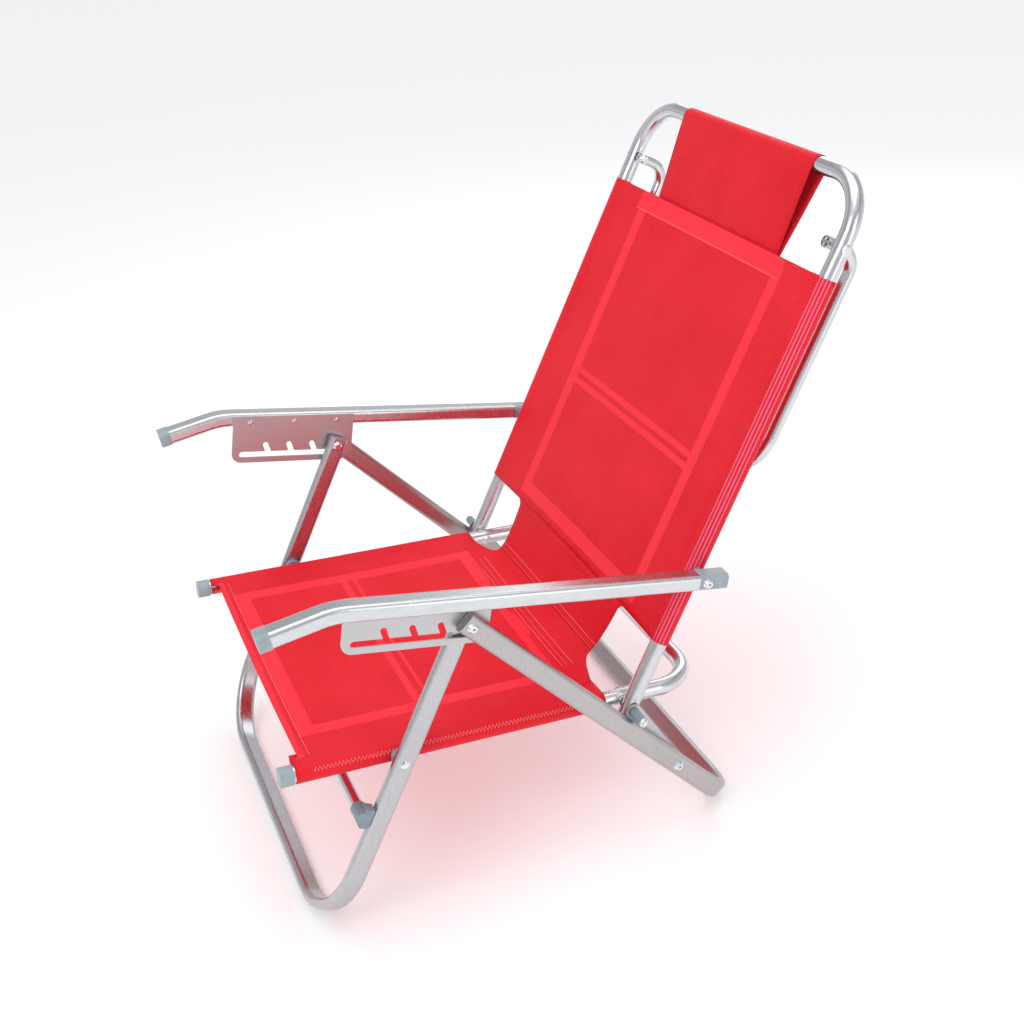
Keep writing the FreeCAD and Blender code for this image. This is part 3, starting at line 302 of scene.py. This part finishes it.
def make_thread(name):
    """Pale pink twisted thread."""
    s = Shade(name, Metallic=0.0)
    twist = s.noise(1400.0, 2.0)
    s.colour(s.mix(twist, (0.85, 0.20, 0.26, 1), (0.98, 0.66, 0.68, 1)))
    s.rough(s.math("MULTIPLY_ADD", twist, 0.2, 0.5))
    s.bump(twist, 0.3, 0.1 * MM)
    return s.material


tube_metal = make_aluminium("round_tube_polished", 0.20, 60.0, (3.0, 0.6, 0.6), (0.66, 0.67, 0.69))
leg_metal = make_aluminium("leg_tube_brushed", 0.38, 110.0, (1.0, 4.0, 1.2), (0.50, 0.48, 0.48))
floor_metal = make_aluminium("front_leg_polished", 0.26, 80.0, (1.0, 4.0, 1.0), (0.54, 0.54, 0.56))
arm_metal = make_aluminium("armrest_anodised", 0.26, 120.0, (6.0, 0.6, 2.0), (0.66, 0.68, 0.69))
plate_metal = make_aluminium("plate_brushed", 0.40, 160.0, (1.0, 1.0, 8.0), (0.56, 0.55, 0.56))
plastic = make_plastic("plastic_blue_grey", (0.24, 0.32, 0.37))
pale_plastic = make_plastic("plastic_pale_grey", (0.36, 0.44, 0.48))
chrome = make_chrome("chrome_hardware")
thread = make_thread("sewing_thread")

METALS = {
    "front_leg": floor_metal,
    "rear_leg": leg_metal,
    "seat_tube": tube_metal,
    "back_tube": tube_metal,
    "front_brace": tube_metal,
    "bail_tube": tube_metal,
    "tie_bar": plate_metal,
    "ratchet_plate": plate_metal,
    "armrest_tube": arm_metal,
}
PALE = ("armrest_cap", "armrest_clip", "seat_cap")
SOFT = ("seat_sling", "back_sling", "headrest")

slot_of = {p["node"]: p["material_slot"] for p in frame["record"]["subparts"]}


def finish_for(node):
    for start, metal in METALS.items():
        if node.startswith(start):
            return metal
    if slot_of[node] == "bright_steel":
        return chrome
    return pale_plastic if node.startswith(PALE) else plastic


for node, obj in frame["nodes"].items():
    if node in SOFT:
        continue
    obj.data.materials.clear()
    obj.data.materials.append(finish_for(node))


# ---------------------------------------------------------------- sheets of the sling


def new_object(name, data):
    obj = bpy.data.objects.new(name, data)
    bpy.context.scene.collection.objects.link(obj)
    return obj


def new_sheet(name, rows, material):
    """Rows of points and cloth coordinates, made into a thin closed sheet."""
    wide = len(rows[0][0])
    points = [p for row, cloth in rows for p in row]
    faces = []
    for j in range(len(rows) - 1):
        for i in range(wide - 1):
            a = j * wide + i
            faces.append((a, a + 1, a + wide + 1, a + wide))
    mesh = bpy.data.meshes.new(name)
    mesh.from_pydata([tuple(p) for p in points], [], faces)
    layer = mesh.uv_layers.new(name="cloth")
    flat = [uv for row, cloth in rows for uv in cloth]
    for loop in mesh.loops:
        layer.data[loop.index].uv = flat[loop.vertex_index]
    mesh.update()
    obj = new_object(name, mesh)
    mesh.materials.append(material)
    for polygon in mesh.polygons:
        polygon.use_smooth = True
    solid = obj.modifiers.new("thickness", "SOLIDIFY")
    solid.thickness = CLOTH
    solid.offset = 0.0
    return obj


def steps(low, high, count):
    return [low + (high - low) * i / (count - 1) for i in range(count)]


def with_runs(points):
    """Add to each point of a section its distance along the cloth."""
    section, run, last = [], 0.0, points[0]
    for point in points:
        run += math.hypot(point[0] - last[0], point[1] - last[1])
        section.append((*point, run))
        last = point
    return section


TANGENT = 93  # the cloth meets the tube at this angle from outward
AROUND = 186  # and goes this far around it
PANEL_STEPS, SLEEVE_STEPS, TUBE_STEPS = 16, 7, 18


def sleeve_section(half, middle):
    """(x, lift, run) from the middle out, over the tube and back in to its seam."""
    tangent = math.radians(TANGENT)
    edge = (half + WRAP * math.cos(tangent), WRAP * math.sin(tangent))

    def lift(x):
        share = x / edge[0]
        return middle + (edge[1] - middle) * share**2

    flat = steps(0.0, half - SEW - 6 * MM, PANEL_STEPS) + steps(half - SEW, edge[0], SLEEVE_STEPS)
    out = [(x, lift(x)) for x in flat]
    for i in range(1, TUBE_STEPS + 1):
        angle = tangent - math.radians(AROUND) * i / TUBE_STEPS
        out.append((half + WRAP * math.cos(angle), WRAP * math.sin(angle)))
    seam = (half - SEW, lift(half - SEW) - 1.0 * MM)
    last = out[-1]
    for share in (0.35, 0.7, 1.0):
        x = last[0] + (seam[0] - last[0]) * share
        out.append((x, last[1] + (seam[1] - last[1]) * share**1.4))
    return with_runs(out)


def both_sides(section):
    """The section mirrored, so that it runs from one seam to the other."""
    left = [(-x, z, -run) for x, z, run in reversed(section[1:])]
    return left + section


def ripple(x, along, low, high, height):
    """Small uneven tension of the stretched cloth, none at its two ends."""
    share = (along - low) / (high - low)
    ends = math.sin(math.pi * min(max(share, 0.0), 1.0)) ** 0.5
    pulled = noise.noise(Vector((x * 9, along * 5, 0.3)))
    return height * ends * pulled


SLEEVE_IN = 15 * MM  # the sleeve stays smooth this far in from its tube


def seat_row(section, share):
    """One row of the seat, from its rear edge at share 0 to its front edge at 1."""
    row, uv = [], []
    for x, z, run in section:
        on_panel = abs(run) < SEAT_HALF - SLEEVE_IN
        front = SEAT_FRONT - SEAT_STEP if on_panel else SEAT_FRONT
        ahead = SEAT_REAR + (front - SEAT_REAR) * share
        droop = ripple(x, ahead, SEAT_REAR, SEAT_FRONT, 1.6 * MM) if on_panel else 0.0
        row.append(on_seat(x, ahead, z + droop))
        uv.append((run, ahead))
    return row, uv


seat_section = both_sides(sleeve_section(SEAT_HALF, SEAT_MIDDLE))
back_section = both_sides(sleeve_section(BACK_HALF, BACK_MIDDLE))


def panel_lift(x, half, middle):
    """Height of the stretched panel over the tubes' plane at x."""
    return middle + (WRAP - middle) * min(abs(x) / half, 1.0) ** 2


# welded bands and stitches: (across centre, across half, along centre, along half), then the pitch
BAND = 10 * MM
STITCH = 4 * MM  # from one stitch to the next
seat_bands = [
    (0.0, 0.182, 0.398, BAND),  # front of the welded rectangle
    (0.0, 0.182, 0.250, BAND * 0.5),  # the two lines across its middle
    (0.0, 0.182, 0.234, BAND * 0.25),
    (0.0, 0.182, 0.058, BAND),  # its rear
    (0.174, BAND, 0.228, 0.180),  # its sides
    (-0.180, BAND, 0.228, 0.180),
    (0.0, 0.228, 0.420, 5 * MM),  # front hem
]
back_bands = [
    (0.0, 0.188, 0.578, 13 * MM),  # top hem
    (0.0, 0.180, 0.318, BAND * 0.45),  # the two lines across the middle of the rectangle
    (0.0, 0.180, 0.302, BAND * 0.45),
    (0.0, 0.170, 0.120, BAND),  # its foot
    (0.182, BAND, 0.345, 0.235),  # its sides
    (-0.172, BAND, 0.345, 0.235),
]
head_bands = [(0.0, 0.165, 0.004, 4 * MM)]  # hem at the foot
seat_stitches = [
    (0.0, 0.225, 0.409, 0.5 * MM, STITCH),
    (0.0, 0.170, 0.038, 0.6 * MM, STITCH),
]
back_stitches = [(0.0, 0.188, 0.566, 0.5 * MM, STITCH)]
WAIST_SEAMS = (0.010, 0.018, 0.026, 0.060, 0.068)
waist_stitches = [(0.0, 0.160, along, 0.6 * MM, STITCH) for along in WAIST_SEAMS]

seat_cloth = make_mesh_fabric("seat_mesh_fabric", seat_bands, seat_stitches)
# the back's cloth gets the painted highlight along its sleeves
back_cloth = make_mesh_fabric("back_mesh_fabric", back_bands, back_stitches, BACK_HALF + GLINT_HALF)
waist_cloth = make_mesh_fabric("waist_mesh_fabric", [], waist_stitches)
head_cloth = make_mesh_fabric("headrest_mesh_fabric", head_bands, alpha=0.93, rib=3.6 * MM)

SEAT_ROWS, BACK_ROWS = 54, 62
seat_rows = [seat_row(seat_section, share) for share in steps(0.0, 1.0, SEAT_ROWS)]
seat_fabric = new_sheet("seat_fabric", seat_rows, seat_cloth)


def back_row(section, share):
    """One row of the back, from its foot at share 0 to its top edge at 1."""
    row, uv = [], []
    along = BACK_LOW + (BACK_HIGH - BACK_LOW) * share
    for x, z, run in section:
        on_panel = abs(run) < BACK_HALF - SLEEVE_IN
        droop = ripple(x, along, BACK_LOW, BACK_HIGH, 2.0 * MM) if on_panel else 0.0
        row.append(on_back(x, along, z + droop))
        uv.append((run, along))
    return row, uv


back_rows = [back_row(back_section, share) for share in steps(0.0, 1.0, BACK_ROWS)]
back_fabric = new_sheet("back_fabric", back_rows, back_cloth)


# ---------------------------------------------------------------- narrow middle over the hinge


CURVE_STEPS = 60
SEAM = 0.46  # share of the curve where the two halves of the narrow middle meet


def corner_curve(t):
    """Middle line of the sling around the hinge: t is 0 on the back, 1 on the seat."""
    ends = [
        on_back(0, BACK_WAIST, BACK_MIDDLE),
        on_back(0, 14 * MM, BACK_MIDDLE),
        on_seat(0, 10 * MM, SEAT_MIDDLE),
        on_seat(0, SEAT_REAR + 30 * MM, SEAT_MIDDLE),
    ]
    weights = ((1 - t) ** 3, 3 * t * (1 - t) ** 2, 3 * t * t * (1 - t), t**3)
    return sum((p * w for p, w in zip(ends, weights)), Vector((0, 0, 0)))


def waist_row(place, half, lift_dir, lift_of, run):
    """One row across the narrow middle, lifted towards its edges as the panels are."""
    xs = steps(-1.0, 1.0, 37)
    row = [place + ACROSS * (half * x) + lift_dir * lift_of(half * x) for x in xs]
    return row, [(half * x, run) for x in xs]


def edge_lift(half, middle):
    return lambda x: panel_lift(x, half, middle) - middle


curve_run = [0.0]
curve_points = [corner_curve(i / CURVE_STEPS) for i in range(CURVE_STEPS + 1)]
for before, after in zip(curve_points, curve_points[1:]):
    curve_run.append(curve_run[-1] + (after - before).length)


def run_at(share):
    """Distance along the curve from its seat end."""
    return curve_run[-1] - curve_run[round(share * CURVE_STEPS)]


def blended_up(share):
    return BACK_UP.lerp(SEAT_UP, share).normalized()


def lift_at(share):
    back_lift, seat_lift = edge_lift(BACK_HALF, BACK_MIDDLE), edge_lift(SEAT_HALF, SEAT_MIDDLE)
    return lambda x: back_lift(x) * (1 - share) + seat_lift(x) * share


WAIST_CUT = 7 * MM


def waist_half(share):
    """Half width around the corner: a shallow concave cut on each side."""
    return WAIST - WAIST_CUT * math.sin(math.pi * share)


def curve_row(share, half):
    return waist_row(corner_curve(share), half, blended_up(share), lift_at(share), run_at(share))


back_waist_rows = []
for along, flare in ((BACK_LOW, 9 * MM), (94 * MM, 4 * MM), (90 * MM, 1 * MM)):
    place = on_back(0, along, BACK_MIDDLE)
    lift_of = edge_lift(BACK_HALF, BACK_MIDDLE)
    back_waist_rows.append(waist_row(place, WAIST + flare, BACK_UP, lift_of, along))
for share in steps(0.0, SEAM, 14):
    back_waist_rows.append(curve_row(share, waist_half(share)))
back_waist = new_sheet("back_waist_fabric", back_waist_rows, waist_cloth)

seat_waist_rows = []
for share in steps(SEAM, 1.0, 16):
    place = corner_curve(share)
    half = waist_half(share)
    ahead = (place - PIVOT).dot(SEAT_DIR)
    if ahead > SEAT_CORNER:
        rise = min((ahead - SEAT_CORNER) / (SEAT_REAR - SEAT_CORNER), 1.0)
        half += (SEAT_HALF - SEW - WAIST) * rise**1.8
    seat_waist_rows.append(curve_row(share, half))
seat_waist = new_sheet("seat_waist_fabric", seat_waist_rows, waist_cloth)


# ---------------------------------------------------------------- headrest strip

HEAD_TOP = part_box("headrest")[1].x  # half its width at the top bar
HEAD_FOOT = 155 * MM  # and at its foot
BAR = (TOP_BAR - PIVOT).length
HEAD_LOW = BACK_HIGH - 22 * MM
BEHIND = -1.5 * MM  # its foot lies behind the back's cloth
FREE = BACK_HIGH - 14 * MM  # from here up it comes forward to the bar


BAR_STEPS = 12


def headrest_section():
    """(along, lift, run) from the foot up the front, around the top bar and down the rear."""
    out = []
    for share in steps(0.0, 1.0, 16):
        along = HEAD_LOW + (BAR - HEAD_LOW) * share
        ease = max((along - FREE) / (BAR - FREE), 0.0)
        out.append((along, BEHIND + (WRAP - BEHIND) * min(ease, 1.0) ** 0.9))
    for i in range(1, BAR_STEPS + 1):
        angle = math.radians(90 - 180 * i / BAR_STEPS)
        out.append((BAR + WRAP * math.cos(angle), WRAP * math.sin(angle)))
    for share in steps(0.0, 1.0, 16)[1:]:
        along = BAR + (HEAD_LOW - BAR) * share
        out.append((along, -WRAP + (WRAP - 4.0 * MM) * share))
    return with_runs(out)


head_rows = []
for along, lift, run in headrest_section():
    rise = min(max((along - HEAD_LOW) / (BAR - HEAD_LOW), 0), 1)
    half = HEAD_FOOT + (HEAD_TOP - HEAD_FOOT) * rise
    xs = [half * x for x in steps(-1.0, 1.0, 33)]
    wave = [1.2 * MM * noise.noise(Vector((x * 14, along * 12, lift * 30))) for x in xs]
    calm = min(abs(along - BAR) / (40 * MM), 1.0)
    row = [on_back(x, along, lift + w * calm) for x, w in zip(xs, wave)]
    head_rows.append((row, [(x, run) for x in xs]))
headrest_fabric = new_sheet("headrest_fabric", head_rows, head_cloth)


# ---------------------------------------------------------------- sewn threads


def new_thread(name, points, radius):
    curve = bpy.data.curves.new(name, "CURVE")
    curve.dimensions = "3D"
    curve.bevel_depth = radius
    curve.bevel_resolution = 1
    spline = curve.splines.new("POLY")
    spline.points.add(len(points) - 1)
    for place, p in zip(spline.points, points):
        place.co = (*p, 1)
    curve.materials.append(thread)
    return new_object(name, curve)


SEAM_LOW, SEAM_HIGH = 50 * MM, 410 * MM  # the seam's two ends along the seat
SEAM_ANGLE, SEAM_SWING = 38, 12  # its place around the tube, and the zig-zag to each side
SEAM_PITCH = 2.4 * MM


def zigzag(side):
    """Zig-zag stitches around the outer face of a seat sleeve."""
    points = []
    reach = WRAP + CLOTH * 0.8
    for i in range(int((SEAM_HIGH - SEAM_LOW) / SEAM_PITCH) + 1):
        turn = math.radians(SEAM_ANGLE + (SEAM_SWING if i % 2 else -SEAM_SWING))
        x = side * (SEAT_HALF + reach * math.cos(turn))
        points.append(on_seat(x, SEAM_LOW + SEAM_PITCH * i, reach * math.sin(turn)))
    return points


threads = []
for label, side in (("left", 1), ("right", -1)):
    threads.append(new_thread(f"seat_seam_{label}", zigzag(side), 0.35 * MM))

# ---------------------------------------------------------------- screw recesses, dark with painted shade

RECESS_LENGTH = 2.4 * MM  # half an arm of the cross
RECESS_HEIGHT = 0.35 * MM
RECESS_SUNK = 0.15 * MM
RECESS_SLIM = 0.16  # width over length of an arm
RECESS_TAPER = 0.82


def new_cross(name, centre, outward):
    """Dark cross of painted shade in the recess of a screw head, standing just proud of the head's dome."""
    verts, faces = [], []
    turn = outward.to_track_quat("Z", "Y")
    for arm in (0, 1):
        spin = Quaternion((0, 0, 1), math.radians(45 + 90 * arm))
        ring = []
        for level, shrink in ((0.0, 1.0), (RECESS_HEIGHT, RECESS_TAPER)):
            for x, y in ((-1, -1), (1, -1), (1, 1), (-1, 1)):
                reach = x * RECESS_LENGTH * shrink
                local = spin @ Vector((reach, y * RECESS_SLIM * RECESS_LENGTH, level))
                ring.append(centre + turn @ local)
        base = len(verts)
        verts += ring
        faces += [(base + 3, base + 2, base + 1, base), (base + 4, base + 5, base + 6, base + 7)]
        for i in range(4):
            j = (i + 1) % 4
            faces.append((base + i, base + j, base + 4 + j, base + 4 + i))
    mesh = bpy.data.meshes.new(name)
    mesh.from_pydata([tuple(v) for v in verts], [], faces)
    mesh.materials.append(recess)
    return new_object(name, mesh)


# painted shade: near-black colour standing in for the shadow inside each screw's cross recess
recess = make_plastic("screw_recess_painted_shade", (0.06, 0.06, 0.065))
tie_low, tie_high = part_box("tie_rivets")
heads = (
    ("top_bolts_outer", joints["fold_rear_leg"], "rear_frame"),
    ("armrest_bolts", ARM, "armrest_pins"),
    ("tie_rivets", (tie_low + tie_high) / 2, "rear_frame"),
)
for node, place, body in heads:
    low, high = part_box(node)
    for label, side in (("left", 1), ("right", -1)):
        reach = high.x if side > 0 else -low.x
        centre = Vector((side * (reach - RECESS_SUNK), place.y, place.z))
        cross = new_cross(f"{node}_recess_{label}", centre, ACROSS * side)
        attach(cross, body)

# ---------------------------------------------------------------- how each piece moves

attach(seat_fabric, "seat")
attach(back_fabric, "back")
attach(headrest_fabric, "back")
for piece in threads:
    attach(piece, "seat")
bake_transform(seat_waist)
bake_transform(back_waist)
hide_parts("seat_sling")
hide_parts("back_sling")
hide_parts("headrest")

# ---------------------------------------------------------------- floor, light, camera

FLOOR = 30.0  # half its side
corners = [(x * FLOOR, y * FLOOR, 0) for x, y in ((-1, -1), (1, -1), (1, 1), (-1, 1))]
floor_mesh = bpy.data.meshes.new("floor")
floor_mesh.from_pydata(corners, [], [(0, 1, 2, 3)])
floor = new_object("floor", floor_mesh)
paper = Shade("pale_floor", Metallic=0.0, Roughness=0.9)
paper.shader.inputs["Base Color"].default_value = (0.88, 0.88, 0.88, 1)
paper.shader.inputs["Emission Color"].default_value = (1, 1, 1, 1)
paper.shader.inputs["Emission Strength"].default_value = 0.22
floor_mesh.materials.append(paper.material)
floor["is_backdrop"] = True

world = bpy.data.worlds.new("studio")
bpy.context.scene.world = world
world.use_nodes = True
nodes, links = world.node_tree.nodes, world.node_tree.links
backdrop = nodes["Background"]
coord = nodes.new("ShaderNodeTexCoord")
split = nodes.new("ShaderNodeSeparateXYZ")
ramp = nodes.new("ShaderNodeValToRGB")
links.new(coord.outputs["Generated"], split.inputs["Vector"])
links.new(split.outputs["Z"], ramp.inputs["Fac"])
links.new(ramp.outputs["Color"], backdrop.inputs["Color"])
backdrop.inputs["Strength"].default_value = 1.15
ramp.color_ramp.elements[0].position = 0.0
ramp.color_ramp.elements[0].color = (0.92, 0.92, 0.93, 1)
ramp.color_ramp.elements[1].position = 1.0
ramp.color_ramp.elements[1].color = (1.0, 1.0, 1.0, 1)
for height, shade in (
    (0.10, (0.30, 0.27, 0.29, 1)),
    (0.22, (0.75, 0.73, 0.75, 1)),
    (0.55, (0.35, 0.36, 0.39, 1)),
):
    stop = ramp.color_ramp.elements.new(height)
    stop.color = shade


AIM = Vector((0, 0.02, 0.40))


def area_light(name, place, size, power):
    """Soft rectangular light that shines at the chair's middle."""
    data = bpy.data.lights.new(name, "AREA")
    data.shape = "RECTANGLE"
    data.size, data.size_y = size
    data.energy = power
    obj = new_object(name, data)
    obj.location = place
    obj.rotation_euler = (AIM - Vector(place)).to_track_quat("-Z", "Y").to_euler()


area_light("key", (1.3, -1.9, 2.3), (1.6, 1.6), 17)
area_light("top", (-0.1, 0.3, 2.8), (2.2, 2.2), 15)
area_light("side", (2.3, 0.9, 1.1), (1.0, 1.8), 7)
area_light("rear", (-1.6, 1.8, 1.7), (1.4, 1.4), 9)

CAMERA_PLACE = Vector((1.5865, -0.5641, 1.3002))
CAMERA_AIM = Vector((0.0446, 0.0400, 0.4276))
CAMERA_ROLL = -0.0894
FOCAL, SENSOR = 49.10, 36  # millimetres
SHIFT_X, SHIFT_Y = -0.0305, -0.0270

camera_data = bpy.data.cameras.new("camera")
camera = new_object("camera", camera_data)
camera.location = CAMERA_PLACE
look = (CAMERA_AIM - CAMERA_PLACE).to_track_quat("-Z", "Y")
camera.rotation_mode = "QUATERNION"
camera.rotation_quaternion = look @ Quaternion((0, 0, 1), CAMERA_ROLL)
camera_data.sensor_width = SENSOR
camera_data.lens = FOCAL
camera_data.shift_x = SHIFT_X
camera_data.shift_y = SHIFT_Y
camera_data.clip_end = 100
bpy.context.scene.camera = camera
bpy.context.scene.view_settings.view_transform = "Standard"

low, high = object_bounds()
